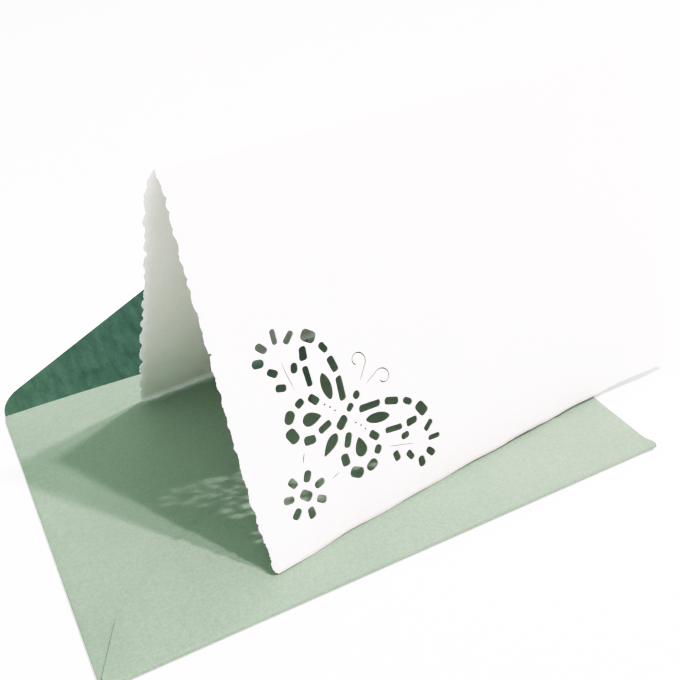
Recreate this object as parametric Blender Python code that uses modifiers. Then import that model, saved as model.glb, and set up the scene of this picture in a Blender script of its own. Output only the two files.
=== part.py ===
"""Folded greeting card with a cut-out butterfly corner, standing as a tent on its open envelope.

Blender 4.5.  Metres, +Z up.  The origin is the centre of the envelope's underside, on the surface it lies on.
The long side of the envelope runs along X, its open mouth and its pointed top flap look towards +Y.
Sizes below are in millimetres and are turned into metres by MM.
"""

import math

import bmesh
import bpy
from mathutils import Matrix, Vector

MM = 0.001

# ---------------------------------------------------------------- driving dimensions (mm)
ENV_W = 180.0          # envelope, along X
ENV_H = 116.6          # envelope, along Y, bottom fold to flap hinge
PAPER = 0.3            # envelope paper
LAYER = 0.3            # clearance between neighbouring sheets
FOLD_GAP = 0.3         # clearance between two pieces that share a fold line

FLAP_H = 73.0          # top flap, hinge to where its two straight edges would meet
FLAP_TIP_R = 9.0       # rounding of the flap's point
BOTTOM_FLAP_H = 76.3   # bottom flap, measured from the bottom fold
FLAP_SLOPE = math.radians(35.6)  # straight edges of both flaps
SIDE_TOP = 66.0        # length of a side flap's top edge, along the mouth
SIDE_REACH = 86.0      # how far a side flap's tip reaches in from the side fold

CARD = 0.6             # card thickness
CARD_W = 165.7         # card, along its fold
FOOT_D = 88.1          # distance between the card's two feet, inner faces
APEX_H = 101.4         # height of the fold line above the feet, inner faces
CARD_TURN = math.radians(5.65)   # the card stands turned on the envelope
CARD_X, CARD_Y = 50.72, 12.78    # front foot, left end, inner face, from the envelope's corner
FOOT_Z = 1.8           # height of the feet above the table
CREASE = 0.5           # each leaf stops this short of the fold line

# layers of the envelope, heights of the sheets' undersides
Z_FACE = 0.0
Z_SIDE = Z_FACE + PAPER + LAYER
Z_BOTTOM = Z_SIDE + PAPER + LAYER

LEAF = math.hypot(FOOT_D / 2, APEX_H)          # leaf height along its slope
LEAN = math.atan2(FOOT_D / 2, APEX_H)          # lean of each leaf from the vertical

# butterfly: centre on the front leaf and direction of its body, from the leaf's lower left corner
MOTIF_U, MOTIF_V = 31.7, 31.2
MOTIF_DIR = math.radians(42.6)

# ---------------------------------------------------------------- scene
for ob in list(bpy.data.objects):
    bpy.data.objects.remove(ob, do_unlink=True)

kit = bpy.data.collections.new("card_and_envelope")
bpy.context.scene.collection.children.link(kit)


def material(name, colour, rough, sheen=0.0):
    mat = bpy.data.materials.new(name)
    mat.use_nodes = True
    b = mat.node_tree.nodes["Principled BSDF"]
    b.inputs["Base Color"].default_value = (*colour, 1.0)
    b.inputs["Roughness"].default_value = rough
    b.inputs["Metallic"].default_value = sheen
    return mat


WHITE = material("cotton_card", (0.93, 0.93, 0.92), 0.9)
WHITE_IN = material("cotton_card_back_leaf", (0.90, 0.90, 0.88), 0.9)
GREEN = material("pearl_green_paper", (0.50, 0.62, 0.50), 0.5, 0.1)
GREEN_SIDE = material("pearl_green_side_flap", (0.47, 0.60, 0.48), 0.5, 0.1)
GREEN_FACE = material("green_inner_face", (0.05, 0.19, 0.10), 0.55, 0.1)
GREEN_FLAP = material("green_top_flap_inner", (0.06, 0.22, 0.12), 0.55, 0.1)


def world(x, y, z):
    """Envelope corner coordinates, mm, to world metres."""
    return Vector(((x - ENV_W / 2) * MM, (y - ENV_H / 2) * MM, z * MM))


# ---------------------------------------------------------------- outline helpers (mm, plane)
def round_corners(points, radii, steps=5):
    """A polygon whose corners are replaced by arcs of the given radii."""
    out = []
    n = len(points)
    for i, (p, r) in enumerate(zip(points, radii)):
        p = Vector(p)
        a = Vector(points[i - 1]) - p
        b = Vector(points[(i + 1) % n]) - p
        if r <= 0:
            out.append(tuple(p))
            continue
        half = a.angle(b) / 2
        room_a = a.length * (0.49 if radii[i - 1] > 0 else 0.97)
        room_b = b.length * (0.49 if radii[(i + 1) % n] > 0 else 0.97)
        cut = min(r / math.tan(half), room_a, room_b)
        r = cut * math.tan(half)
        a.normalize()
        b.normalize()
        centre = p + (a + b).normalized() * (r / math.sin(half))
        s = p + a * cut - centre
        e = p + b * cut - centre
        turn = s.angle_signed(e)
        for k in range(steps + 1):
            out.append(tuple(centre + Matrix.Rotation(-turn * k / steps, 2) @ s))
    return out


def flap_outline(width, height, tip_r, shoulder, inset=0.6):
    """Diamond flap on a base along +X: shoulder points on the left, then straight edges to a rounded point.

    Each shoulder point is (x, y, radius); the last one is (x, None, radius) and lies on the straight edge.
    """
    slope = math.tan(FLAP_SLOPE)
    mid = width / 2
    left = [(x, height - slope * (mid - x) if y is None else y, r) for x, y, r in shoulder]
    corners = [(inset, 0.0, 0), (width - inset, 0.0, 0)]
    corners += [(width - x, y, r) for x, y, r in left]
    corners += [(mid, height, tip_r)]
    corners += left[::-1]
    return round_corners([c[:2] for c in corners], [c[2] for c in corners], 5)


def deckle(s, seed):
    """Torn edge: how far the sheet's edge stands out at a distance s (mm) along it."""
    return (
        0.42 * math.sin(2 * math.pi * s / 9.3 + seed)
        + 0.30 * math.sin(2 * math.pi * s / 5.7 + 2.3 * seed + 1.0)
        + 0.20 * math.sin(2 * math.pi * s / 3.4 + 4.1 * seed + 0.4)
    )


def bow(v):
    """The right-hand edges swell a little at mid height."""
    return 1.8 * math.sin(math.pi * max(0.0, min(1.0, v / LEAF)))


def foot_rise(u):
    """The front leaf's lower edge runs up slightly towards its right-hand end."""
    t = max(0.0, min(1.0, (u - 45.0) / 90.0))
    return 1.9 * t * t * (3 - 2 * t)


def leaf_outline(front):
    """One leaf of the card, (u, v): u along the fold, v from its foot up to the crease."""
    top = LEAF - CREASE
    n_side, n_foot = 40, 26
    pts = []
    for k in range(n_foot + 1):                          # foot, left to right
        u = 1.2 + (CARD_W - 2.4) * k / n_foot
        wave = 0.15 * math.sin(2 * math.pi * u / 23.0 + 0.6)
        v = (foot_rise(u) + wave + 0.15) if front else (0.15 + 0.5 * wave)
        pts.append((u, v))
    for k in range(n_side + 1):                          # right edge, upwards
        v = 1.2 + foot_rise(CARD_W) * front + (top - 1.2 - foot_rise(CARD_W) * front) * k / n_side
        fade = min(1.0, (top - v) / 6.0)
        pts.append((CARD_W + bow(v) + fade * deckle(v, 0.7), v))
    for k in range(n_side + 1):                          # left edge, downwards
        v = top - (top - 1.2) * k / n_side
        fade = min(1.0, (top - v) / 6.0)
        pts.append((fade * deckle(v, 2.9 if front else 4.4), v))
    return pts


# ---------------------------------------------------------------- the butterfly's openings
def slot(cx, cy, length, width, angle, corner=0.45):
    """A rounded bar, petal or tile: corner is the share of the half width that is rounded away."""
    hl, hw = length / 2, width / 2
    r = min(hw, hl) * corner * 1.9
    r = min(r, hw * 0.98, hl * 0.98)
    box = [(-hl, -hw), (hl, -hw), (hl, hw), (-hl, hw)]
    pts = round_corners(box, [r] * 4, 2)
    c, s = math.cos(math.radians(angle)), math.sin(math.radians(angle))
    return [(cx + c * x - s * y, cy + s * x + c * y) for x, y in pts]


def petal(cx, cy, length, width, angle, lean=0.0):
    """A pointed oval; lean moves its fullest part along it."""
    c, s = math.cos(math.radians(angle)), math.sin(math.radians(angle))
    n = 12
    pts = []
    for k in range(n):
        t = 2 * math.pi * k / n
        x = length / 2 * math.cos(t)
        y = width / 2 * math.sin(t) * (1 + lean * math.cos(t))
        pts.append((cx + c * x - s * y, cy + s * x + c * y))
    return pts


# one wing: distance out from the body, distance along it, length, width, angle, kind (s bar or tile, p petal)
WING = [
    (31.5, 10.5, 4.3, 1.8, 45, "s"), (27.5, 12.2, 4.1, 2.0, 85, "s"), (22.25, 15.5, 4.6, 3.4, 172, "s"),
    (16.8, 15.2, 3.4, 2.1, 15, "s"), (11.7, 12.8, 4.8, 2.4, 31, "s"), (5.75, 8.25, 7.2, 2.2, 45, "s"),
    (33.0, 6.0, 3.7, 2.3, 0, "s"), (31.75, 2.0, 3.8, 2.5, 138, "s"), (26.5, 2.0, 3.4, 2.2, 168, "s"),
    (22.1, -0.25, 3.3, 2.2, 152, "s"), (21.3, 10.75, 4.1, 2.4, 50, "s"), (21.6, 6.25, 3.0, 2.2, 58, "s"),
    (16.6, 6.0, 6.2, 2.0, 38, "s"), (10.0, 6.5, 8.0, 3.1, 35, "p"), (11.8, 1.6, 3.9, 2.4, 177, "s"),
    (15.0, -1.25, 2.8, 2.4, 108, "s"), (15.7, -5.9, 3.9, 3.3, 75, "s"), (9.3, -3.2, 5.7, 3.5, 138, "p"),
    (12.0, -10.0, 4.8, 3.4, 14, "s"), (6.8, -8.6, 4.0, 2.7, 138, "s"), (4.5, -3.5, 4.7, 2.3, 110, "s"),
]
BODY = [(0.0, 8.75, 2.6, 2.4, 90, "s"), (0.0, 4.9, 2.6, 2.1, 90, "s"), (0.0, 0.0, 4.5, 2.8, 90, "s"),
        (0.0, -7.0, 7.0, 3.0, 90, "p")]
FLOWER_Y, FLOWER_R, FLOWER_N = -22.25, 5.4, 7


def strip(points, width):
    """A thin slit along an open line."""
    left, right = [], []
    for i, p in enumerate(points):
        a = Vector(points[max(0, i - 1)])
        b = Vector(points[min(len(points) - 1, i + 1)])
        t = (b - a).normalized()
        n = Vector((-t.y, t.x)) * (width / 2)
        left.append(tuple(Vector(p) + n))
        right.append(tuple(Vector(p) - n))
    return left + right[::-1]


def antenna():
    """A stalk that runs up from the head and curls over outwards and in: a spiral of falling radius."""
    pts = [(1.2, 12.7), (1.65, 15.0)]
    cx, cy = 5.25, 17.2
    for k in range(12):
        t = k / 11
        ang = math.radians(192 - 310 * t)
        r = 1.25 + 1.95 * (1 - t) ** 1.5
        pts.append((cx + r * math.cos(ang), cy + r * math.sin(ang)))
    return pts


def motif_holes():
    """All openings in motif coordinates: x out from the body, y along it."""
    shapes = []
    for x, y, length, width, angle, kind in WING:
        make = petal if kind == "p" else slot
        for side in (1, -1):
            shapes.append(make(side * x, y, length, width, angle if side > 0 else 180 - angle))
    for x, y, length, width, angle, kind in BODY:
        shapes.append((petal if kind == "p" else slot)(x, y, length, width, angle))
    for k in range(FLOWER_N):
        a = 90 + (k + 0.5) * 360 / FLOWER_N
        shapes.append(slot(FLOWER_R * math.cos(math.radians(a)), FLOWER_Y + FLOWER_R * math.sin(math.radians(a)), 3.4, 2.4, a))
    shapes.append(slot(0, FLOWER_Y, 4.2, 3.0, 0))
    for side in (1, -1):
        for x, y in ((4.0, 2.0), (5.95, 2.1), (7.9, 1.9)):
            shapes.append([(side * x + 0.28 * math.cos(math.pi / 3 * k), y + 0.28 * math.sin(math.pi / 3 * k)) for k in range(6)])
        shapes.append(strip([(side * x, y) for x, y in ((18.2, 1.0), (22.0, 3.27), (25.9, 5.6))], 0.4))
        shapes.append(strip([(side * x, y) for x, y in ((5.4, -14.9), (6.0, -13.7), (6.6, -12.4))], 0.4))
        shapes.append(strip([(side * x, y) for x, y in antenna()], 0.4))
    c, s = math.cos(MOTIF_DIR - math.pi / 2), math.sin(MOTIF_DIR - math.pi / 2)
    return [[(MOTIF_U + c * x - s * y, MOTIF_V + s * x + c * y) for x, y in sh] for sh in shapes]


# ---------------------------------------------------------------- solids
def plate(name, loops, thick, mat):
    """A flat sheet from closed outlines, the first the outer one; its underside is on the local plane z = 0."""
    cu = bpy.data.curves.new(name, "CURVE")
    cu.dimensions = "2D"
    cu.fill_mode = "BOTH"
    cu.extrude = thick / 2 * MM
    for loop in loops:
        sp = cu.splines.new("POLY")
        sp.points.add(len(loop) - 1)
        for q, (x, y) in zip(sp.points, loop):
            q.co = (x * MM, y * MM, 0, 1)
        sp.use_cyclic_u = True
    ob = bpy.data.objects.new(name, cu)
    cu.materials.append(mat)
    kit.objects.link(ob)
    return ob


def folded_flap(name, outline, radius, mat, bottom_z):
    """A sheet that wraps a fold along local y = 0 and lies back over, as an open surface with Solidify.

    The outline starts with its two corners on the fold.  The bend is a half tube of the given radius.
    """
    bm = bmesh.new()
    z_top = bottom_z + PAPER / 2 + 2 * radius
    face = [bm.verts.new((x * MM, y * MM, z_top * MM)) for x, y in outline]
    bm.faces.new(face)
    prev = [face[0], face[1]]
    xs = (outline[0][0], outline[1][0])
    steps = 8
    profile = []
    for k in range(1, steps + 1):
        t = math.pi * k / steps
        profile.append((-radius * math.sin(t), z_top - radius + radius * math.cos(t)))
    profile.append((PAPER / 2, z_top - 2 * radius))
    for y, z in profile:
        cur = [bm.verts.new((x * MM, y * MM, z * MM)) for x in xs]
        bm.faces.new((prev[1], prev[0], cur[0], cur[1]))
        prev = cur
    bmesh.ops.recalc_face_normals(bm, faces=bm.faces)
    me = bpy.data.meshes.new(name)
    bm.to_mesh(me)
    bm.free()
    me.materials.append(mat)
    ob = bpy.data.objects.new(name, me)
    kit.objects.link(ob)
    so = ob.modifiers.new("paper", "SOLIDIFY")
    so.thickness = PAPER * MM
    so.offset = 0.0
    so.use_even_offset = True
    return ob


R_SIDE = (Z_SIDE - Z_FACE) / 2       # fold radius of the sheet's mid surface
R_BOTTOM = (Z_BOTTOM - Z_FACE) / 2
IN_SIDE = R_SIDE + PAPER / 2         # outer edge to the fold's own line
IN_BOTTOM = R_BOTTOM + PAPER / 2

# envelope face sheet, lying face down
x0 = IN_SIDE + PAPER / 2 + FOLD_GAP
y0 = IN_BOTTOM + PAPER / 2 + FOLD_GAP
face_sheet = plate("envelope_face_panel",
                   [[(x0, y0), (ENV_W - x0, y0), (ENV_W - x0, ENV_H), (x0, ENV_H)]], PAPER, GREEN_FACE)
face_sheet.location = world(0, 0, Z_FACE + PAPER / 2)

# bottom flap, folded up over the side flaps
wb = ENV_W - 2 * 0.6
bottom = flap_outline(wb, BOTTOM_FLAP_H - IN_BOTTOM, 14.0, [(0.5, 2.4, 0), (8.7, None, 5.0)], inset=0.4)
bottom_flap = folded_flap("envelope_bottom_flap", bottom, R_BOTTOM, GREEN, Z_FACE)
bottom_flap.location = world(0.6, IN_BOTTOM, 0)

# side flaps, folded in first; local x runs along the side fold, local y inwards
side_len = ENV_H - 0.4 - 1.8
side_shape = round_corners(
    [(0.0, 0.0), (side_len, 0.0), (side_len, SIDE_TOP), (side_len - 44.0, SIDE_REACH), (48.0, SIDE_REACH), (4.0, 16.0)],
    [0, 0, 8.0, 5.0, 8.0, 6.0], 4)
left_flap = folded_flap("envelope_left_side_flap", side_shape, R_SIDE, GREEN_SIDE, Z_FACE)
# local (x, y) -> world: x up the side, y inwards from the left edge
left_flap.matrix_world = Matrix.Translation(world(IN_SIDE, 1.8, 0)) @ Matrix(((0, 1, 0, 0), (1, 0, 0, 0), (0, 0, 1, 0), (0, 0, 0, 1)))
right_flap = folded_flap("envelope_right_side_flap", side_shape, R_SIDE, GREEN_SIDE, Z_FACE)
right_flap.matrix_world = Matrix.Translation(world(ENV_W - IN_SIDE, 1.8, 0)) @ Matrix(((0, -1, 0, 0), (1, 0, 0, 0), (0, 0, 1, 0), (0, 0, 0, 1)))

# top flap, open, lying flat beyond the hinge; its origin is on the hinge line
HINGE_Y = ENV_H + FOLD_GAP / 2
top = [(x, y + FOLD_GAP / 2) for x, y in flap_outline(ENV_W, FLAP_H - FOLD_GAP / 2, FLAP_TIP_R, [(0.6, None, 16.0)])]
top_flap = plate("envelope_top_flap", [top], PAPER, GREEN_FLAP)
top_flap.location = world(0, HINGE_Y, Z_FACE + PAPER / 2)

# card: each leaf is drawn flat, (u, v), and stood up; its inner face is the plane through the fold and its foot
foot_front = world(CARD_X, CARD_Y, FOOT_Z)
along = Vector((math.cos(CARD_TURN), math.sin(CARD_TURN), 0))
across = Vector((-math.sin(CARD_TURN), math.cos(CARD_TURN), 0))
foot_back = foot_front + across * FOOT_D * MM
up = Vector((0, 0, 1))


front = plate("card_front_leaf", [leaf_outline(True)] + motif_holes(), CARD, WHITE)
back = plate("card_back_leaf", [leaf_outline(False)], CARD, WHITE_IN)
slope_f = (across * math.sin(LEAN) + up * math.cos(LEAN))
normal_f = along.cross(slope_f)                 # points out of the tent, to the front and up
front.matrix_world = Matrix.Translation(foot_front + normal_f * CARD / 2 * MM) @ Matrix((along, slope_f, normal_f)).transposed().to_4x4()

# the back leaf is drawn seen from behind, so that its frame is right-handed: local x runs against the fold
slope_b = (-across * math.sin(LEAN) + up * math.cos(LEAN))
normal_b = (-along).cross(slope_b)
for sp in back.data.splines:
    for q in sp.points:
        q.co.x = CARD_W * MM - q.co.x
back.matrix_world = Matrix.Translation(foot_back + along * CARD_W * MM + normal_b * CARD / 2 * MM) @ Matrix((-along, slope_b, normal_b)).transposed().to_4x4()
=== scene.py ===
"""Looks of the folded cut-out card and its envelope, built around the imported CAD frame.

All working sizes are in millimetres, measured from the envelope's lower left corner on the table, and are turned
into metres in the row frame by P().  The numbers repeat the CAD model's own dimensions.
"""

import math

import bpy
import numpy as np
from mathutils import Matrix, Vector, kdtree, noise
from mathutils.geometry import delaunay_2d_cdt


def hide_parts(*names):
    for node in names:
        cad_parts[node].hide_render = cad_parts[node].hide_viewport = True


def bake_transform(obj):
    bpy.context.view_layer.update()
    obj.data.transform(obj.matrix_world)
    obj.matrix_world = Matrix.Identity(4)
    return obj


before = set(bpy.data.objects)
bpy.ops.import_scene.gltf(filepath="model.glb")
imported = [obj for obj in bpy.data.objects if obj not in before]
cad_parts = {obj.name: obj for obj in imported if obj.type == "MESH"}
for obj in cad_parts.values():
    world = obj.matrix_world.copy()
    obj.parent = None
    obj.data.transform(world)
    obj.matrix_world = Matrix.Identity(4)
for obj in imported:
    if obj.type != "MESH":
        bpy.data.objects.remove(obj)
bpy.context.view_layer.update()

MM = 0.001
ENV_W, ENV_H = 180.0, 116.6
PAPER = 0.3
FLAP_H, FLAP_TIP_R = 73.0, 9.0
BOTTOM_FLAP_H = 76.3
FLAP_SLOPE = math.radians(35.6)
SIDE_TOP, SIDE_REACH = 66.0, 86.0
CARD, CARD_W = 0.6, 165.7
FOOT_D, APEX_H = 88.1, 101.4
CARD_TURN = math.radians(5.65)
CARD_X, CARD_Y, FOOT_Z = 50.72, 12.78, 1.8
LEAF = math.hypot(FOOT_D / 2, APEX_H)
LEAN = math.atan2(FOOT_D / 2, APEX_H)
MOTIF_U, MOTIF_V, MOTIF_DIR = 31.7, 31.2, math.radians(42.6)
R_SIDE, R_BOTTOM = 0.3, 0.6           # fold radii of the sheet's middle
IN_SIDE, IN_BOTTOM = R_SIDE + PAPER / 2, R_BOTTOM + PAPER / 2
Z_MID = PAPER / 2


def P(x, y, z):
    return ((x - ENV_W / 2) * MM, (y - ENV_H / 2) * MM, z * MM)


def smooth(t):
    t = max(0.0, min(1.0, t))
    return t * t * (3 - 2 * t)


def fbm(x, y, z=0.0, octaves=3):
    """Smooth deterministic noise, about -1 to 1."""
    v, a, s = 0.0, 1.0, 0.0
    for _ in range(octaves):
        v += a * noise.noise(Vector((x, y, z)))
        s += a
        x, y, z, a = x * 2.03 + 7.1, y * 2.03 - 3.7, z + 11.3, a * 0.5
    return v / s


# ------------------------------------------------------------------ camera and lights
def camera():
    f_px = 873.7
    cam = bpy.data.cameras.new("camera")
    cam.sensor_width = 36.0
    cam.lens = 36.0 * f_px / 680.0
    cam.clip_start, cam.clip_end = 0.01, 20
    ob = bpy.data.objects.new("camera", cam)
    bpy.context.scene.collection.objects.link(ob)
    right = Vector((0.87845, -0.47780, -0.00618)).normalized()
    ahead = Vector((0.38860, 0.72186, -0.57264)).normalized()
    upv = right.cross(ahead).normalized()
    right = ahead.cross(upv).normalized()
    m = Matrix((right, upv, -ahead)).transposed().to_4x4()
    m.translation = P(-7.65, -135.95, 187.42 + 1.5)
    ob.matrix_world = m
    bpy.context.scene.camera = ob


def area_light(name, direction, distance, size, size_y, power, colour=(1, 1, 1), long_axis=(0.93, -0.37, 0)):
    """A soft lamp as a rectangle, its long side lying along long_axis."""
    li = bpy.data.lights.new(name, "AREA")
    li.shape = "RECTANGLE"
    li.size, li.size_y = size, size_y
    li.energy = power
    li.color = colour
    ob = bpy.data.objects.new(name, li)
    bpy.context.scene.collection.objects.link(ob)
    d = Vector(direction).normalized()
    target = Vector((0.02, 0.0, 0.04))
    x = Vector(long_axis)
    x = (x - d * x.dot(d)).normalized()
    m = Matrix((x, d.cross(x), d)).transposed().to_4x4()
    m.translation = target + d * distance
    ob.matrix_world = m
    return ob


def tone_curve(view):
    """The contrast of a bright product picture: deeper shadows and soft, compressed whites."""
    white = 1.6
    view.use_curve_mapping = True
    cm = view.curve_mapping
    cm.initialize()
    cm.extend = "HORIZONTAL"
    cm.white_level = (white, white, white)
    c = cm.curves[3]
    steps = ((0.0, 0.0), (0.05, 0.020), (0.10, 0.050), (0.15, 0.090), (0.20, 0.138), (0.30, 0.248), (0.43, 0.412),
             (0.56, 0.570), (0.75, 0.765), (1.0, 0.948), (1.21, 0.983), (1.35, 0.997), (1.6, 1.0))
    for x, y in steps[1:-1]:
        c.points.new(x / white, y)
    c.points[0].location = (0.0, 0.0)
    c.points[-1].location = (1.0, 1.0)
    cm.update()


def stage():
    sc = bpy.context.scene
    sc.view_settings.view_transform = "Standard"
    sc.view_settings.look = "None"
    sc.view_settings.exposure = 0.0
    sc.view_settings.gamma = 1.0
    tone_curve(sc.view_settings)
    w = bpy.data.worlds.new("studio")
    w.use_nodes = True
    bg = w.node_tree.nodes["Background"]
    bg.inputs["Color"].default_value = (0.950, 1.0, 0.945, 1)
    # a soft-box ceiling over a pale horizon, darker in between
    nt = w.node_tree
    way = nt.nodes.new("ShaderNodeTexCoord")
    up = nt.nodes.new("ShaderNodeSeparateXYZ")
    power = nt.nodes.new("ShaderNodeValToRGB")
    for place, value in ((0.09, 0.84), (0.19, 0.40)):
        power.color_ramp.elements.new(place).color = (value, value, value, 1)
    power.color_ramp.elements[0].color = (0.92, 0.92, 0.92, 1)
    power.color_ramp.elements[-1].color = (0.96, 0.96, 0.96, 1)
    nt.links.new(way.outputs["Generated"], up.inputs[0])
    nt.links.new(up.outputs["Z"], power.inputs["Fac"])
    nt.links.new(power.outputs["Color"], bg.inputs["Strength"])
    sc.world = w
    me = bpy.data.meshes.new("floor")
    s = 3.0
    me.from_pydata([(-s, -s, -0.0004), (s, -s, -0.0004), (s, s, -0.0004), (-s, s, -0.0004)], [], [(0, 1, 2, 3)])
    fl = bpy.data.objects.new("floor", me)
    sc.collection.objects.link(fl)
    mat = bpy.data.materials.new("pale_floor")
    mat.use_nodes = True
    b = mat.node_tree.nodes["Principled BSDF"]
    b.inputs["Base Color"].default_value = (0.72, 0.72, 0.72, 1)
    b.inputs["Roughness"].default_value = 0.9
    b.inputs["Specular IOR Level"].default_value = 0.1
    b.inputs["Emission Color"].default_value = (1.0, 1.0, 1.0, 1)
    b.inputs["Emission Strength"].default_value = 0.36
    me.materials.append(mat)
    area_light("key", (0.29, -0.27, 1.0), 1.6, 0.075, 0.035, 10.5, (1.0, 0.69, 0.87))
    area_light("second", (0.45, -0.30, 1.0), 1.6, 0.09, 0.04, 12.1, (1.0, 0.69, 0.87))


# ------------------------------------------------------------------ outlines
def round_corners(points, radii, steps=8):
    out = []
    n = len(points)
    for i, (p, r) in enumerate(zip(points, radii)):
        p = Vector(p)
        a = Vector(points[i - 1]) - p
        b = Vector(points[(i + 1) % n]) - p
        if r <= 0:
            out.append(tuple(p))
            continue
        half = a.angle(b) / 2
        room_a = a.length * (0.49 if radii[i - 1] > 0 else 0.97)
        room_b = b.length * (0.49 if radii[(i + 1) % n] > 0 else 0.97)
        cut = min(r / math.tan(half), room_a, room_b)
        r = cut * math.tan(half)
        a.normalize()
        b.normalize()
        centre = p + (a + b).normalized() * (r / math.sin(half))
        s = p + a * cut - centre
        e = p + b * cut - centre
        turn = s.angle_signed(e)
        for k in range(steps + 1):
            out.append(tuple(centre + Matrix.Rotation(-turn * k / steps, 2) @ s))
    return out


def resample(loop, step):
    """The closed outline again, with no side longer than step."""
    out = []
    n = len(loop)
    for i in range(n):
        a, b = Vector(loop[i]), Vector(loop[(i + 1) % n])
        m = max(1, math.ceil((b - a).length / step))
        for k in range(m):
            out.append(tuple(a.lerp(b, k / m)))
    return out


def offset(loop, d):
    """The closed outline moved outwards by d (loops run either way round)."""
    n = len(loop)
    area = sum(loop[i][0] * loop[(i + 1) % n][1] - loop[(i + 1) % n][0] * loop[i][1] for i in range(n))
    sgn = 1 if area > 0 else -1
    out = []
    for i in range(n):
        a, b = Vector(loop[i - 1]), Vector(loop[(i + 1) % n])
        t = (b - a).normalized()
        out.append((loop[i][0] + sgn * t.y * d, loop[i][1] - sgn * t.x * d))
    return out


def inside(points, loop):
    """Even-odd test of many points against one closed outline."""
    pts = np.asarray(points, float)
    lp = np.asarray(loop, float)
    lo, hi = lp.min(0), lp.max(0)
    res = np.zeros(len(pts), bool)
    near = np.nonzero((pts[:, 0] >= lo[0]) & (pts[:, 0] <= hi[0]) & (pts[:, 1] >= lo[1]) & (pts[:, 1] <= hi[1]))[0]
    if len(near) == 0:
        return res
    q = pts[near]
    x1, y1 = lp[:, 0], lp[:, 1]
    x2, y2 = np.roll(x1, -1), np.roll(y1, -1)
    c = np.zeros(len(q), bool)
    for i in range(len(lp)):
        if y1[i] == y2[i]:
            continue
        m = (y1[i] > q[:, 1]) != (y2[i] > q[:, 1])
        xi = x1[i] + (q[:, 1] - y1[i]) * (x2[i] - x1[i]) / (y2[i] - y1[i])
        c ^= m & (q[:, 0] < xi)
    res[near] = c
    return res


def triangulate(outer, holes, inner_points, lines=()):
    """Triangles inside outer and outside holes, keeping every given edge. Returns points and triangles."""
    verts, edges = [], []

    def add(loop, closed=True):
        k = len(verts)
        verts.extend(Vector((x, y)) for x, y in loop)
        n = len(loop)
        edges.extend((k + i, k + (i + 1) % n) for i in range(n if closed else n - 1))

    add(outer)
    for h in holes:
        add(h)
    for ln in lines:
        add(ln, False)
    verts.extend(Vector(p) for p in inner_points)
    vs, _, fs, *_ = delaunay_2d_cdt(verts, edges, [], 0, 1e-5, False)
    pts = np.array([tuple(v) for v in vs])
    tri = np.array([f for f in fs if len(f) == 3])
    cen = pts[tri].mean(1)
    keep = inside(cen, outer)
    for h in holes:
        keep &= ~inside(cen, h)
    tri = tri[keep]
    a, b, c = pts[tri[:, 0]], pts[tri[:, 1]], pts[tri[:, 2]]
    area = (b[:, 0] - a[:, 0]) * (c[:, 1] - a[:, 1]) - (b[:, 1] - a[:, 1]) * (c[:, 0] - a[:, 0])
    tri[area < 0] = tri[area < 0][:, ::-1]
    tri = tri[np.abs(area) > 1e-9]
    used = np.unique(tri)
    remap = -np.ones(len(pts), int)
    remap[used] = np.arange(len(used))
    return pts[used], remap[tri]


def sheet_mesh(name, pts, tri, place, mats, side_mats=(0, 0, 0), attributes=None):
    """A closed sheet: place(i, x, y) gives a vertex's two faces' positions in mm, outer and inner."""
    n = len(pts)
    top, bot = [], []
    for i in range(n):
        a, b = place(i, pts[i][0], pts[i][1])
        top.append(P(*a))
        bot.append(P(*b))
    faces = [tuple(int(k) for k in t) for t in tri]
    mat_idx = [side_mats[0]] * len(faces)
    count = {}
    for t in faces:
        for a, b in ((t[0], t[1]), (t[1], t[2]), (t[2], t[0])):
            count[(a, b)] = True
    rim = [(a, b) for (a, b) in count if (b, a) not in count]
    inner = [(t[2] + n, t[1] + n, t[0] + n) for t in faces]
    mat_idx += [side_mats[1]] * len(inner)
    walls = [(b, a, a + n, b + n) for a, b in rim]
    mat_idx += [side_mats[2]] * len(walls)
    me = bpy.data.meshes.new(name)
    me.from_pydata(top + bot, [], faces + inner + walls)
    me.polygons.foreach_set("material_index", mat_idx)
    for m in mats:
        me.materials.append(m)
    me.shade_smooth()
    me.set_sharp_from_angle(angle=math.radians(50))
    for key, values in (attributes or {}).items():
        at = me.attributes.new(key, "FLOAT", "POINT")
        at.data.foreach_set("value", np.concatenate([values, values]).astype(np.float32))
    me.validate()
    ob = bpy.data.objects.new(name, me)
    bpy.context.scene.collection.objects.link(ob)
    return ob


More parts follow.
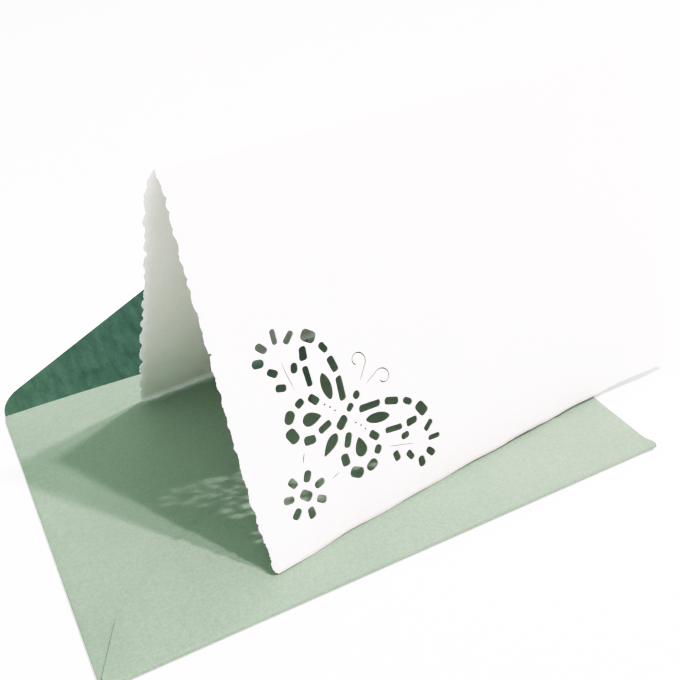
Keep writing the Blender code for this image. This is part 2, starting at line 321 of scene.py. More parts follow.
# ------------------------------------------------------------------ node helpers
class Nodes:
    def __init__(self, name):
        self.mat = bpy.data.materials.new(name)
        self.mat.use_nodes = True
        self.t = self.mat.node_tree
        self.b = self.t.nodes["Principled BSDF"]

    def new(self, kind, **kw):
        n = self.t.nodes.new(kind)
        for k, v in kw.items():
            if k in n.inputs:
                n.inputs[k].default_value = v
            else:
                setattr(n, k, v)
        return n

    def link(self, a, b):
        self.t.links.new(a, b)

    def coords(self):
        return self.new("ShaderNodeTexCoord").outputs["Object"]

    def noise(self, vec, scale, detail=3.0, rough=0.5, distortion=0.0):
        n = self.new("ShaderNodeTexNoise")
        n.inputs["Scale"].default_value = scale
        n.inputs["Detail"].default_value = detail
        n.inputs["Roughness"].default_value = rough
        n.inputs["Distortion"].default_value = distortion
        self.link(vec, n.inputs["Vector"])
        return n

    def stretch(self, vec, scale):
        m = self.new("ShaderNodeMapping")
        m.inputs["Scale"].default_value = scale
        self.link(vec, m.inputs["Vector"])
        return m.outputs["Vector"]

    def ramp(self, value, lo, hi, c0, c1):
        """Maps value from lo..hi to the colours c0..c1."""
        r = self.new("ShaderNodeValToRGB")
        r.color_ramp.elements[0].position = lo
        r.color_ramp.elements[1].position = hi
        r.color_ramp.elements[0].color = (*c0, 1)
        r.color_ramp.elements[1].color = (*c1, 1)
        self.link(value, r.inputs["Fac"])
        return r.outputs["Color"]

    def mix(self, fac, a, b, blend="MIX"):
        m = self.new("ShaderNodeMix", data_type="RGBA", blend_type=blend)
        for sock, v in ((m.inputs["Factor"], fac), (m.inputs["A"], a), (m.inputs["B"], b)):
            pass
        fi = [s for s in m.inputs if s.name == "Factor" and s.type == "VALUE"][0]
        ai = [s for s in m.inputs if s.name == "A" and s.type == "RGBA"][0]
        bi = [s for s in m.inputs if s.name == "B" and s.type == "RGBA"][0]
        for sock, v in ((fi, fac), (ai, a), (bi, b)):
            if hasattr(v, "links"):
                self.link(v, sock)
            elif isinstance(v, (int, float)):
                sock.default_value = v
            else:
                sock.default_value = (*v, 1)
        return [s for s in m.outputs if s.type == "RGBA"][0]

    def math(self, op, a, b=0.0, clamp=False):
        m = self.new("ShaderNodeMath", operation=op, use_clamp=clamp)
        for k, v in ((0, a), (1, b)):
            if hasattr(v, "links"):
                self.link(v, m.inputs[k])
            else:
                m.inputs[k].default_value = v
        return m.outputs[0]

    def bump(self, height, strength, distance, normal=None):
        b = self.new("ShaderNodeBump")
        b.inputs["Strength"].default_value = strength
        b.inputs["Distance"].default_value = distance
        self.link(height, b.inputs["Height"])
        if normal is not None:
            self.link(normal, b.inputs["Normal"])
        return b.outputs["Normal"]


def cotton():
    """White mould-made cotton card: felt marks, short fibres, and a fringe, less thick where it was torn, painted
    paler: partly the torn fibres' own whiteness, partly painted light shining through the fine edge.
    """
    m = Nodes("cotton_card")
    co = m.coords()
    felt = m.noise(co, 420.0, 4.0, 0.55)
    fibre = m.noise(m.stretch(co, (1.0, 1.6, 0.8)), 1500.0, 3.0, 0.6, 0.6)
    cloud = m.noise(co, 38.0, 3.0, 0.5)
    tone = m.ramp(cloud.outputs["Fac"], 0.3, 0.7, (0.872, 0.894, 0.852), (0.898, 0.920, 0.884))
    fleck = m.ramp(fibre.outputs["Fac"], 0.35, 0.62, (0.955, 0.955, 0.955), (1.0, 1.0, 1.0))
    col = m.mix(1.0, tone, fleck, "MULTIPLY")
    # painted light: the torn fringe is painted paler, partly for light shining through the fine torn edge
    fringe = m.new("ShaderNodeAttribute", attribute_name="fringe").outputs["Fac"]
    ragged = m.math("MULTIPLY", fringe, m.math("ADD", m.math("MULTIPLY", fibre.outputs["Fac"], 0.8), 0.5), True)
    col = m.mix(ragged, col, (0.915, 0.945, 0.945))
    m.link(col, m.b.inputs["Base Color"])
    m.b.inputs["Roughness"].default_value = 0.88
    m.b.inputs["Specular IOR Level"].default_value = 0.25
    m.b.inputs["Sheen Weight"].default_value = 0.08
    m.b.inputs["Sheen Roughness"].default_value = 0.6
    m.b.inputs["Subsurface Weight"].default_value = 0.65
    m.b.inputs["Subsurface Radius"].default_value = (0.88, 0.97, 0.80)
    m.b.inputs["Subsurface Scale"].default_value = 0.0006
    n1 = m.bump(felt.outputs["Fac"], 0.30, 0.00010)
    n2 = m.bump(fibre.outputs["Fac"], 0.35, 0.00005, n1)
    m.link(n2, m.b.inputs["Normal"])
    return m.mat


def pearl(name, base, low, bumpiness=1.0):
    """Pale green pearl paper: fine grain with tiny bright and dark grains, a broad soft shine."""
    m = Nodes(name)
    co = m.coords()
    grain = m.noise(co, 1500.0, 3.0, 0.65)
    grain2 = m.noise(co, 520.0, 3.0, 0.5)
    cloud = m.noise(co, 28.0, 3.0, 0.5)
    tone = m.ramp(cloud.outputs["Fac"], 0.3, 0.7, low, base)
    g = m.ramp(grain.outputs["Fac"], 0.3, 0.7, (0.80, 0.83, 0.80), (1.0, 1.0, 1.0))
    g2 = m.ramp(grain2.outputs["Fac"], 0.3, 0.7, (0.93, 0.94, 0.93), (1.0, 1.0, 1.0))
    col = m.mix(1.0, m.mix(1.0, tone, g, "MULTIPLY"), g2, "MULTIPLY")
    m.link(col, m.b.inputs["Base Color"])
    rough = m.ramp(grain2.outputs["Fac"], 0.2, 0.8, (0.70,) * 3, (0.84,) * 3)
    m.link(rough, m.b.inputs["Roughness"])
    m.b.inputs["IOR"].default_value = 1.7
    m.b.inputs["Specular IOR Level"].default_value = 0.9
    m.b.inputs["Specular Tint"].default_value = (1.0, 0.62, 0.85, 1)
    m.b.inputs["Sheen Weight"].default_value = 0.25
    m.b.inputs["Sheen Roughness"].default_value = 0.7
    m.b.inputs["Sheen Tint"].default_value = (1.0, 0.72, 0.9, 1)
    n1 = m.bump(grain.outputs["Fac"], 0.25 * bumpiness, 0.00005)
    n2 = m.bump(grain2.outputs["Fac"], 0.2 * bumpiness, 0.0001, n1)
    m.link(n2, m.b.inputs["Normal"])
    return m.mat


def deep_green():
    """Inner face of the envelope paper: deep green, unevenly inked, with mottled darker strokes; the inside of the
    pocket is painted a paler green, as painted light for that shaded interior.
    """
    m = Nodes("deep_green_inner")
    co = m.coords()
    grain = m.noise(co, 1300.0, 3.0, 0.6)
    patch = m.noise(co, 60.0, 4.0, 0.6, 0.4)
    stroke = m.noise(m.stretch(co, (3.2, 0.7, 1.0)), 110.0, 4.0, 0.6, 0.3)
    a = m.ramp(patch.outputs["Fac"], 0.3, 0.7, (0.058, 0.165, 0.100), (0.105, 0.235, 0.155))
    s = m.ramp(stroke.outputs["Fac"], 0.36, 0.60, (0.70, 0.76, 0.78), (1.0, 1.0, 1.0))
    g = m.ramp(grain.outputs["Fac"], 0.3, 0.7, (0.78, 0.82, 0.80), (1.0, 1.0, 1.0))
    deep_not_painted_lift = m.new("ShaderNodeAttribute", attribute_name="deep_not_painted_lift").outputs["Fac"]
    # painted light: the pocket's inner face is painted a paler green to stand in for light reaching the shaded
    # inside of the envelope
    pocket = m.ramp(patch.outputs["Fac"], 0.3, 0.7, (0.30, 0.44, 0.36), (0.38, 0.52, 0.43))
    # paler towards the flap's left shoulder, darker towards the right
    axes = m.new("ShaderNodeSeparateXYZ")
    m.link(co, axes.inputs[0])
    across = m.new("ShaderNodeMapRange")
    m.link(axes.outputs["X"], across.inputs["Value"])
    across.inputs["From Min"].default_value = -0.088
    across.inputs["From Max"].default_value = -0.035
    paler_leftwards = m.mix(across.outputs["Result"], (1.20, 1.07, 1.10), (0.86, 0.86, 0.93))
    deep = m.mix(1.0, m.mix(1.0, a, s, "MULTIPLY"), paler_leftwards, "MULTIPLY")
    col = m.mix(1.0, m.mix(deep_not_painted_lift, pocket, deep), g, "MULTIPLY")
    m.link(col, m.b.inputs["Base Color"])
    m.b.inputs["Roughness"].default_value = 0.62
    m.b.inputs["Specular IOR Level"].default_value = 0.4
    n1 = m.bump(grain.outputs["Fac"], 0.25, 0.00005)
    m.link(n1, m.b.inputs["Normal"])
    return m.mat


# ------------------------------------------------------------------ the card
def deckle(s, seed):
    return (
        0.42 * math.sin(2 * math.pi * s / 9.3 + seed)
        + 0.30 * math.sin(2 * math.pi * s / 5.7 + 2.3 * seed + 1.0)
        + 0.20 * math.sin(2 * math.pi * s / 3.4 + 4.1 * seed + 0.4)
    )


def bow(v):
    return 1.8 * math.sin(math.pi * max(0.0, min(1.0, v / LEAF)))


def foot_rise(u):
    t = max(0.0, min(1.0, (u - 45.0) / 90.0))
    return 1.9 * t * t * (3 - 2 * t) - 1.6 * (smooth((u - 92.0) / 34.0) - smooth((u - 120.0) / 36.0))


def sway(u, v):
    """How far the front leaf's lower part bends back into the tent (or out of it, at its free corner)."""
    if v > 30.0:
        return 0.0
    d = -2.2 * (1 - smooth(u / 30.0)) + 1.3 * smooth((u - 24.0) / 50.0) * (1 - smooth((u - 120.0) / 42.0))
    d += 1.5 * smooth((u - 94.0) / 30.0) * (1 - smooth((u - 132.0) / 30.0))
    return d * (1 - v / 30.0) ** 2


R_IN = 0.2
R_MID = R_IN + CARD / 2
TAN = R_IN / math.tan(LEAN)
ARC = R_MID * (math.pi - 2 * LEAN)
S1 = LEAF - TAN
S2 = S1 + ARC
S_END = S2 + S1


def torn(s, seed):
    """Finer ragged steps, nicks and small tufts on top of the deckle's waves."""
    a = 0.60 * fbm(s * 0.30, seed * 3.1, 0.0, 3)
    b = 0.30 * fbm(s * 1.1, seed * 5.3, 4.0, 3)
    c = 0.26 * fbm(s * 2.9, seed * 2.3, 7.0, 2)
    nick = max(0.0, fbm(s * 0.55, seed * 1.7, 9.0, 2) - 0.30)
    tuft = max(0.0, fbm(s * 0.8, seed * 4.9, 3.0, 2) - 0.33)
    return a + b + c - 2.4 * nick + 2.2 * tuft


def leaf_height(s):
    """Height above the foot, v, of a point at s along the whole sheet, and which leaf it is on."""
    return (s, True) if s < (S1 + S2) / 2 else (S_END - s, False)


def side_x(s, right):
    v, front = leaf_height(s)
    top = LEAF - 0.5
    fade = 0.35 + 0.65 * min(1.0, max(0.0, (top - v)) / 6.0)
    tip = 0.55 * math.exp(-((LEAF - v) / 3.2) ** 2)
    if right:
        return CARD_W + bow(v) + fade * 0.5 * deckle(v, 0.7) + torn(s, 1.3) * (0.3 + 0.7 * smooth(v / 6.0))
    if front:
        return fade * 0.38 * deckle(v, 2.9) - 1.15 * torn(s, 2.2) - 0.45 * smooth((v - 4) / 14.0) * smooth((top - v) / 20.0) - tip
    # rounded lobes of uneven length between sharp nicks
    lobe = min(1.0, 3.2 * abs(fbm(v * 0.115, 2.0, 5.0, 2)))
    out = (1.2 + 1.1 * smooth((v - 74) / 18.0)) * smooth((v - 6) / 50.0) * smooth((top - v) / 3.5) + tip
    return fade * (0.22 * deckle(v, 4.4) - 0.95 * (lobe - 0.55)) - 0.6 * torn(s, 2.2) - out


def card_outline():
    pts = []
    step = 0.32
    r = 1.1
    n = int((CARD_W - 2 * r) / 0.6)
    for k in range(n + 1):                                   # front foot
        u = r + (CARD_W - 2 * r) * k / n
        v = foot_rise(u) + 0.15 * math.sin(2 * math.pi * u / 23.0 + 0.6) + 0.15 + 0.12 * fbm(u * 0.35, 3.3, 1.0) + 0.06 * fbm(u * 1.6, 8.3, 1.0)
        pts.append((u, v))
    right, left = [], []
    m = int((S_END - 2 * r) / step)
    for k in range(m + 1):
        s = r + (S_END - 2 * r) * k / m
        right.append((side_x(s, True), s))
        left.append((side_x(s, False), s))
    right = [p for p in right if p[1] > foot_rise(CARD_W) + r]
    pts += right
    for k in range(n + 1):                                   # back foot, torn
        u = CARD_W - r - (CARD_W - 2 * r) * k / n
        v = 0.35 + 0.20 * deckle(u * 0.8, 1.9) + 0.30 * fbm(u * 0.5, 6.1, 2.0) + 0.15 * fbm(u * 1.9, 2.1, 6.0)
        pts.append((u, S_END - max(-0.1, v)))
    pts += left[::-1]
    return pts


def slot_shape(cx, cy, length, width, angle, side=1):
    """A cut-out like a pebble: a rounded four-sided shape, each a little different from the next."""
    hl, hw = length / 2, width / 2
    key = cx * side * 1.7 + cy * 2.3
    j = [0.14 * math.sin(key * 3.1 + 1.9 * k) for k in range(8)]
    r = min(hw, hl) * (0.86 + 0.12 * math.sin(key))
    box = [(-hl * (1 + j[0]), -hw * (1 + j[1])), (hl * (1 + j[2]), -hw * (1 + j[3])), (hl * (1 + j[4]), hw * (1 + j[5])), (-hl * (1 + j[6]), hw * (1 + j[7]))]
    box = [(x, y * side) for x, y in box][::side]
    pts = resample(round_corners(box, [r] * 4, 4), 0.4)
    c, s = math.cos(math.radians(angle)), math.sin(math.radians(angle))
    return [(cx + c * x - s * y, cy + s * x + c * y) for x, y in pts]


def petal_shape(cx, cy, length, width, angle, wide=0.0):
    """A pointed oval; wide above zero makes it broader towards the far end, below zero towards the near end."""
    c, s = math.cos(math.radians(angle)), math.sin(math.radians(angle))
    n = 30
    out = []
    for k in range(n):
        t = 2 * math.pi * k / n
        q = abs(math.sin(t)) ** 0.22
        x, y = length / 2 * math.cos(t) * 1.03, width / 2 * math.sin(t) * q * 1.06 * (1 + wide * math.cos(t))
        out.append((cx + c * x - s * y, cy + s * x + c * y))
    return out


WING = [
    (31.5, 10.5, 4.3, 1.8, 45, "s"), (27.5, 12.2, 4.1, 2.0, 85, "s"), (22.25, 15.5, 4.6, 3.4, 172, "s"),
    (16.8, 15.2, 3.4, 2.1, 15, "s"), (11.7, 12.8, 4.8, 2.4, 31, "s"), (5.75, 8.25, 7.2, 2.2, 45, "s"),
    (33.0, 6.0, 3.7, 2.3, 0, "s"), (31.75, 2.0, 3.8, 2.5, 138, "s"), (26.5, 2.0, 3.4, 2.2, 168, "s"),
    (22.1, -0.25, 3.3, 2.2, 152, "s"), (21.3, 10.75, 4.1, 2.4, 50, "s"), (21.6, 6.25, 3.0, 2.2, 58, "s"),
    (16.6, 6.0, 6.2, 2.0, 38, "s"), (10.0, 6.5, 8.0, 3.1, 35, "p"), (11.8, 1.6, 3.9, 2.4, 177, "s"),
    (15.0, -1.25, 2.8, 2.4, 108, "s"), (15.7, -5.9, 3.9, 3.3, 75, "s"), (9.3, -3.2, 5.9, 3.6, 138, "d-"),
    (12.0, -10.0, 4.8, 3.4, 14, "s"), (6.8, -8.6, 4.0, 2.7, 138, "s"), (4.5, -3.5, 4.7, 2.3, 110, "s"),
]
BODY = [(0.0, 8.75, 2.6, 2.4, 90, "s"), (0.0, 4.9, 2.6, 2.1, 90, "s"), (0.0, 0.0, 4.5, 2.8, 90, "s"),
        (0.0, -7.0, 7.2, 3.0, 90, "d+")]
FLOWER_Y, FLOWER_R, FLOWER_N = -22.25, 5.4, 7


def strip(points, width):
    left, right = [], []
    for i, p in enumerate(points):
        a = Vector(points[max(0, i - 1)])
        b = Vector(points[min(len(points) - 1, i + 1)])
        t = (b - a).normalized()
        w = width / 2 * (0.55 if i in (0, len(points) - 1) else 1.0)
        n = Vector((-t.y, t.x)) * w
        left.append(tuple(Vector(p) + n))
        right.append(tuple(Vector(p) - n))
    return left + right[::-1]


def antenna():
    pts = [(1.2, 12.7), (1.35, 13.8), (1.65, 15.0)]
    cx, cy = 5.25, 17.2
    for k in range(25):
        t = k / 24
        ang = math.radians(192 - 310 * t)
        r = 1.25 + 1.95 * (1 - t) ** 1.5
        pts.append((cx + r * math.cos(ang), cy + r * math.sin(ang)))
    return pts


def motif_holes():
    """Openings on the front leaf, (u, v), each with the width of its rolled rim."""
    shapes = []
    wide = {"p": 0.0, "d+": 0.42, "d-": -0.42}
    for x, y, length, width, angle, kind in WING:
        for side in (1, -1):
            turned = angle if side > 0 else 180 - angle
            if kind == "s":
                shapes.append((slot_shape(side * x, y, length, width, turned, side), 0.12))
            else:
                shapes.append((petal_shape(side * x, y, length, width, turned, wide[kind]), 0.12))
    for x, y, length, width, angle, kind in BODY:
        if kind == "s":
            shapes.append((slot_shape(x, y, length, width, angle), 0.12))
        else:
            shapes.append((petal_shape(x, y, length, width, angle, wide[kind]), 0.12))
    for k in range(FLOWER_N):
        a = 90 + (k + 0.5) * 360 / FLOWER_N
        shapes.append((slot_shape(FLOWER_R * math.cos(math.radians(a)), FLOWER_Y + FLOWER_R * math.sin(math.radians(a)), 3.4, 2.4, a), 0.12))
    shapes.append((slot_shape(0, FLOWER_Y, 4.2, 3.0, 0), 0.12))
    for side in (1, -1):
        for x, y in ((4.0, 2.0), (5.95, 2.1), (7.9, 1.9)):
            shapes.append(([(side * x + 0.36 * math.cos(math.pi / 5 * k), y + 0.36 * math.sin(math.pi / 5 * k)) for k in range(10)], 0))
        shapes.append((strip([(side * x, y) for x, y in ((18.2, 1.0), (20.1, 2.15), (22.0, 3.27), (24.0, 4.45), (25.9, 5.6))], 0.3), 0))
        shapes.append((strip([(side * x, y) for x, y in ((5.4, -14.9), (6.0, -13.7), (6.6, -12.4))], 0.5), 0))
        shapes.append((strip([(side * x, y) for x, y in antenna()], 0.4), 0))
    c, s = math.cos(MOTIF_DIR - math.pi / 2), math.sin(MOTIF_DIR - math.pi / 2)
    return [([(MOTIF_U + c * x - s * y, MOTIF_V + s * x + c * y) for x, y in sh], rim) for sh, rim in shapes]


ALONG = Vector((math.cos(CARD_TURN), math.sin(CARD_TURN), 0))
ACROSS = Vector((-math.sin(CARD_TURN), math.cos(CARD_TURN), 0))
SL, CL = math.sin(LEAN), math.cos(LEAN)


def card_profile(s):
    """Middle of the sheet and its outward normal at s, in the plane across the card: (across, height), (across, height)."""
    half = CARD / 2
    if s <= S1:
        n = (-CL, SL)
        return (SL * s + n[0] * half, CL * s + n[1] * half), n
    if s < S2:
        ang = math.pi - LEAN - (s - S1) / R_MID
        n = (math.cos(ang), math.sin(ang))
        c = (FOOT_D / 2, APEX_H - R_IN / SL)
        return (c[0] + R_MID * n[0], c[1] + R_MID * n[1]), n
    n = (CL, SL)
    d = S_END - s
    return (FOOT_D - SL * d + n[0] * half, CL * d + n[1] * half), n


def make_card(mat):
    outer = card_outline()
    holes = motif_holes()
    loops = [h for h, _ in holes]
    rims = [offset(h, r) for h, r in holes if r > 0]
    ring_mid = [offset(h, r * 3.2) for h, r in holes if r > 0]
    grid = []
    # even grid, finer by the torn sides, the feet and the cut-outs, with rows that follow the fold
    rows = []
    s = 1.0
    while s < S1 - 0.3:
        rows.append(s)
        v = s
        s += 1.3 if v < 66 else 2.2
    rows += [S1 + ARC * k / 8 for k in range(9)]
    back = [S_END - r for r in rows[: len(rows) - 9]]
    rows += sorted(r for r in back)
    for s in rows:
        v, front = leaf_height(s)
        u = 1.2
        while u < CARD_W + 1.0:
            grid.append((u, s))
            dx = min(u, CARD_W - u)
            u += 1.0 if dx < 7 else (1.3 if (front and v < 66 and u < 66) else 2.2)
    tree = kdtree.KDTree(sum(len(x) for x in loops) * 1 + len(outer))
    k = 0
    for lp in loops + [outer]:
        for x, y in lp:
            tree.insert((x, y, 0), k)
            k += 1
    tree.balance()
    inner = [g for g in grid if tree.find((g[0], g[1], 0))[2] > 0.62]
    # two rows of points that follow the torn sides, so that the sheet can thin towards them
    for gap in (0.35, 0.8, 1.5):
        for k in range(int((S_END - 4) / 0.55)):
            s = 2 + 0.55 * k
            inner.append((side_x(s, False) + gap, s))
            if s > foot_rise(CARD_W) + 2:
                inner.append((side_x(s, True) - gap, s))
        for k in range(int((CARD_W - 5) / 0.8)):
            u = 2.5 + 0.8 * k
            inner.append((u, S_END - 0.3 - gap * 1.3))
            inner.append((u, foot_rise(u) + 0.45 + gap))
    for lp in rims + ring_mid:
        inner += lp
    pts, tri = triangulate(outer, loops, inner)
    print("card triangles", len(tri), "points", len(pts))

    hole_tree = kdtree.KDTree(sum(len(x) for x in loops))
    k = 0
    for lp in loops:
        for x, y in lp:
            hole_tree.insert((x, y, 0), k)
            k += 1
    hole_tree.balance()
    side_pts = [p for p in outer if 1.0 < p[1] < S_END - 1.0]
    foot_pts = [p for p in outer if p[1] >= S_END - 1.6]
    front_pts = [p for p in outer if p[1] <= 4.5 and 1.0 < p[0] < CARD_W - 1.0]
    trees = []
    for group in (side_pts, foot_pts, front_pts):
        t = kdtree.KDTree(len(group))
        for i, (x, y) in enumerate(group):
            t.insert((x, y, 0), i)
        t.balance()
        trees.append(t)

    fringe = np.zeros(len(pts))
    half = np.zeros(len(pts))
    lift = np.zeros(len(pts))
    for i, (u, s) in enumerate(pts):
        q = (u, s, 0)
        d_side = trees[0].find(q)[2]
        d_foot = trees[1].find(q)[2]
        d_front = trees[2].find(q)[2]
        d_hole = hole_tree.find(q)[2]
        wob = 1 + 0.5 * fbm(s * 0.3, u * 0.3, 2.0)
        f_side = 1 - smooth(d_side / (1.7 * wob))
        f_foot = 1 - smooth(d_foot / (2.6 * wob))
        f_front = 0.45 * (1 - smooth(d_front / 0.8))
        f = max(f_side, f_foot, f_front)
        fringe[i] = max(f_side, f_foot)
        th = 1 - 0.80 * f
        th *= 1 + 0.35 * f * fbm(u * 1.1, s * 1.1, 6.0)
        if d_hole < 1e-3:
            th *= 0.80
        half[i] = CARD / 2 * max(0.12, th)
        # slight waves of the hand-made sheet, stronger by the torn sides, none at the fold
        v, front = leaf_height(s)
        calm = smooth((S1 - v) / 14.0 if v < S1 else 0.0)
        wave = 0.22 * fbm(u * 0.022, s * 0.022, 1.0) + 0.07 * fbm(u * 0.11, s * 0.11, 3.0)
        ripple = 0.20 * math.exp(-((d_side / 4.5) ** 2)) * fbm(u * 0.12, s * 0.22, 5.0)
        curl = 0.16 * f_side * fbm(u * 0.2, s * 0.5, 12.0)
        lift[i] = (wave + ripple) * calm + curl * smooth((S1 - v) / 4.0)
        if not front:
            lift[i] -= 1.2 * (1 - smooth(v / 2.5)) * (1 + 0.30 * fbm(u * 0.25, 4.0, 1.0))
        else:
            lift[i] -= 0.22 * (1 - smooth((v - foot_rise(u) - 0.1) / 1.2))
    foot = Vector((CARD_X, CARD_Y, FOOT_Z))

    def place(i, u, s):
        v, front = leaf_height(s)
        (a, z), (na, nz) = card_profile(s if front else s - 0.5 * (1 - smooth(v / 2.5)))
        if front:
            a += sway(u, v)
        mid = foot + ALONG * u + ACROSS * a + Vector((0, 0, z))
        nrm = ACROSS * na + Vector((0, 0, nz))
        mid = mid + nrm * lift[i]
        h = half[i]
        return tuple(mid + nrm * h), tuple(mid - nrm * h)

    ob = sheet_mesh("folded_card", pts, tri, place, [mat], (0, 0, 0), {"fringe": fringe})
    return ob


# ------------------------------------------------------------------ the envelope
def flap_points(width, height, tip_r, shoulder, inset):
    slope = math.tan(FLAP_SLOPE)
    mid = width / 2
    left = [(x, height - slope * (mid - x) if y is None else y, r) for x, y, r in shoulder]
    corners = [(inset, 0.0, 0), (width - inset, 0.0, 0)]
    corners += [(width - x, y, r) for x, y, r in left]
    corners += [(mid, height, tip_r)]
    corners += left[::-1]
    return round_corners([c[:2] for c in corners], [c[2] for c in corners], 8)


ARC_SIDE, ARC_BOTTOM = math.pi * R_SIDE, math.pi * R_BOTTOM


def bottom_edge_y(x):
    """Height of the bottom flap's straight edges above the bottom fold line, at x."""
    return BOTTOM_FLAP_H - math.tan(FLAP_SLOPE) * abs(ENV_W / 2 - x)


def puff(x, y):
    """How far the upper sheets stand off: nothing at the folds, a little inside."""
    p = 0.24 * smooth(y / 9.0) * smooth(x / 14.0) * smooth((ENV_W - x) / 14.0)
    above = smooth((y - bottom_edge_y(x) - 1.0) / 26.0)
    q = 0.36 * above * smooth((x - 2) / 30.0) * smooth((ENV_W - x - 2) / 30.0)
    p += 0.12 * smooth((x - 92.0) / 50.0) * smooth((ENV_W - x) / 17.0) * smooth(y / 26.0) * smooth((62.0 - y) / 40.0)
    return p, q


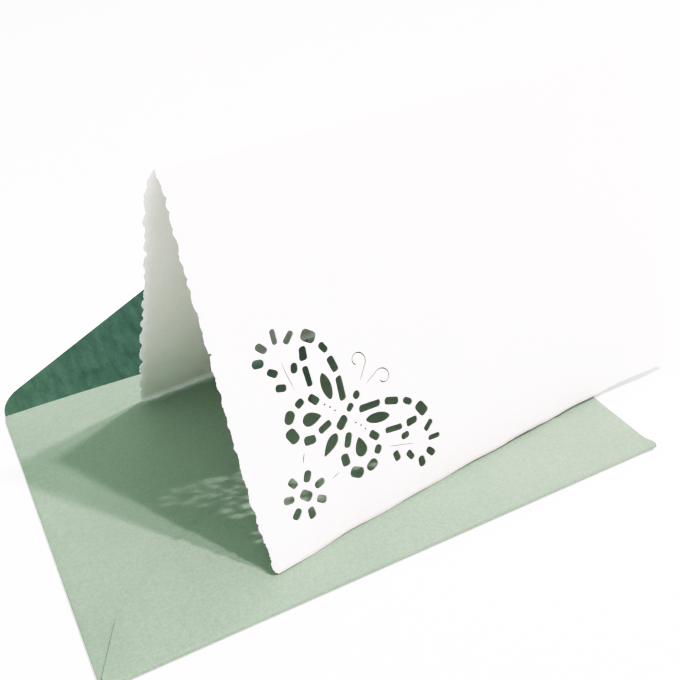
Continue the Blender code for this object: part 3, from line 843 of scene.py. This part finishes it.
def make_envelope(outer_mat, inner_mat, edge_mat):
    """One blank: the face panel, the flaps beyond its four edges, wrapped round rounded folds."""
    xl, xr = IN_SIDE, ENV_W - IN_SIDE
    yb = IN_BOTTOM
    # blank outline, counter-clockwise from the left end of the bottom fold
    top = flap_points(ENV_W, FLAP_H, FLAP_TIP_R, [(0.6, None, 16.0)], 0.6)
    bottom = flap_points(ENV_W - 1.2, BOTTOM_FLAP_H - IN_BOTTOM, 14.0, [(0.5, 2.4, 0), (8.7, None, 5.0)], 0.4)
    side_len = ENV_H - 0.4 - 1.8
    side = round_corners(
        [(0.0, 0.0), (side_len, 0.0), (side_len, SIDE_TOP), (side_len - 44.0, SIDE_REACH), (48.0, SIDE_REACH), (4.0, 16.0)],
        [0, 0, 8.0, 5.0, 8.0, 6.0], 6)
    loop = []
    # bottom flap hangs below the face panel
    b = [(x + 0.6, yb - ARC_BOTTOM - y) for x, y in bottom]
    b_left, b_right, b_rest = b[0], b[1], b[2:]
    loop.append((b_left[0], yb))
    loop += [b_left] + b_rest[::-1] + [b_right]
    loop.append((b_right[0], yb))
    # right side flap
    r = [(xr + ARC_SIDE + y, x + 1.8) for x, y in side]
    loop.append((xr, 1.8))
    loop += [(r[0][0], r[0][1])] + r[2:][::-1] + [(r[1][0], r[1][1])]
    loop.append((xr, ENV_H - 0.4))
    # top flap
    t = [(x, ENV_H + y) for x, y in top]
    loop.append((xr, ENV_H - 0.05))
    loop += [(t[1][0], t[1][1])] + t[2:] + [(t[0][0], t[0][1])]
    loop.append((xl, ENV_H - 0.05))
    l = [(xl - ARC_SIDE - y, x + 1.8) for x, y in side]
    loop.append((xl, ENV_H - 0.4))
    loop += [(l[1][0], l[1][1])] + l[2:] + [(l[0][0], l[0][1])]
    loop.append((xl, 1.8))
    outer = resample(loop, 1.1)
    inner = []
    step = 2.4
    for iy in range(int(-80 / step), int(195 / step)):
        for ix in range(int(-90 / step), int(272 / step)):
            x, y = ix * step, iy * step
            if min(abs(x - xl + ARC_SIDE / 2), abs(x - xr - ARC_SIDE / 2), abs(y - yb + ARC_BOTTOM / 2), abs(y - ENV_H - 0.1)) < 1.9:
                continue
            inner.append((x, y))
    n_fold = 8
    lines = []
    for k in range(n_fold + 1):
        for y in [2.2 + 1.5 * j for j in range(int((ENV_H - 3.5) / 1.5))]:
            inner.append((xl - ARC_SIDE * k / n_fold, y))
            inner.append((xr + ARC_SIDE * k / n_fold, y))
        for x in [1.6 + 1.5 * j for j in range(int((ENV_W - 3) / 1.5))]:
            inner.append((x, yb - ARC_BOTTOM * k / n_fold))
    for dy in (-0.3, -0.12, 0.06, 0.2, 0.35, 0.5, 0.7, 1.0):
        for x in [1.4 + 1.5 * j for j in range(int((ENV_W - 2) / 1.5))]:
            inner.append((x, ENV_H + dy))
    tree = kdtree.KDTree(len(outer))
    for i, (x, y) in enumerate(outer):
        tree.insert((x, y, 0), i)
    tree.balance()
    ins = inside(inner, outer)
    inner = [p for p, ok in zip(inner, ins) if ok and tree.find((p[0], p[1], 0))[2] > 0.45]
    pts, tri = triangulate(outer, [], inner)
    print("envelope triangles", len(tri))
    h = PAPER / 2

    def wrap(x, y):
        """Middle of the sheet and the normal of its inner face."""
        if x < xl:
            d = xl - x
            if d < ARC_SIDE:
                a = d / R_SIDE
                return (xl - R_SIDE * math.sin(a), y, Z_MID + R_SIDE - R_SIDE * math.cos(a)), (math.sin(a), 0, math.cos(a))
            fx = xl + (d - ARC_SIDE)
            p, q = puff(fx, y)
            e = 0.01
            return (fx, y, Z_MID + 2 * R_SIDE + p + q), (0, 0, -1)
        if x > xr:
            d = x - xr
            if d < ARC_SIDE:
                a = d / R_SIDE
                return (xr + R_SIDE * math.sin(a), y, Z_MID + R_SIDE - R_SIDE * math.cos(a)), (-math.sin(a), 0, math.cos(a))
            fx = xr - (d - ARC_SIDE)
            p, q = puff(fx, y)
            return (fx, y, Z_MID + 2 * R_SIDE + p + q), (0, 0, -1)
        if y < yb:
            d = yb - y
            if d < ARC_BOTTOM:
                a = d / R_BOTTOM
                return (x, yb - R_BOTTOM * math.sin(a), Z_MID + R_BOTTOM - R_BOTTOM * math.cos(a)), (0, math.sin(a), math.cos(a))
            fy = yb + (d - ARC_BOTTOM)
            p, q = puff(x, fy)
            return (x, fy, Z_MID + 2 * R_BOTTOM + p), (0, 0, -1)
        return (x, y, Z_MID), (0, 0, 1)

    def place(i, x, y):
        (mx, my, mz), (nx, ny, nz) = wrap(x, y)
        # the bottom fold's right end was nipped: it stands out a little and is thicker
        e = smooth(1 - math.hypot((mx - ENV_W) / 5.0, (my - 1.5) / 4.5))
        mx += 1.15 * e
        my -= 0.35 * e
        mz += 0.55 * e * max(0.0, mz / 1.5)
        return (mx + nx * h, my + ny * h, mz + nz * h), (mx - nx * h, my - ny * h, mz - nz * h)

    # painted light mask: 1 keeps the deep green, 0 gives the pocket its paler painted-light green
    deep_not_painted_lift = np.array([smooth((y - (ENV_H - 16.0 + 5.0 * fbm(x * 0.05, y * 0.05, 2.0))) / 13.0) if xl <= x <= xr else 0.0 for x, y in pts])

    # place() gives the inner (green) face first, the outer (pearl) face second
    ob = sheet_mesh("envelope_sheet", pts, tri, place, [inner_mat, outer_mat, edge_mat], (0, 1, 2), {"deep_not_painted_lift": deep_not_painted_lift})
    return ob


# ------------------------------------------------------------------ build
camera()
stage()
white = cotton()
pearl_out = pearl("pearl_green_outer", (0.325, 0.525, 0.365), (0.292, 0.485, 0.335))
pearl_edge = pearl("pearl_green_edge", (0.27, 0.34, 0.30), (0.22, 0.28, 0.25))
green_in = deep_green()

card = make_card(white)
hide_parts("card_front_leaf", "card_back_leaf")
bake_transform(card)

envelope = make_envelope(pearl_out, green_in, pearl_edge)
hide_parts("envelope_face_panel", "envelope_left_side_flap", "envelope_right_side_flap", "envelope_bottom_flap", "envelope_top_flap")
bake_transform(envelope)
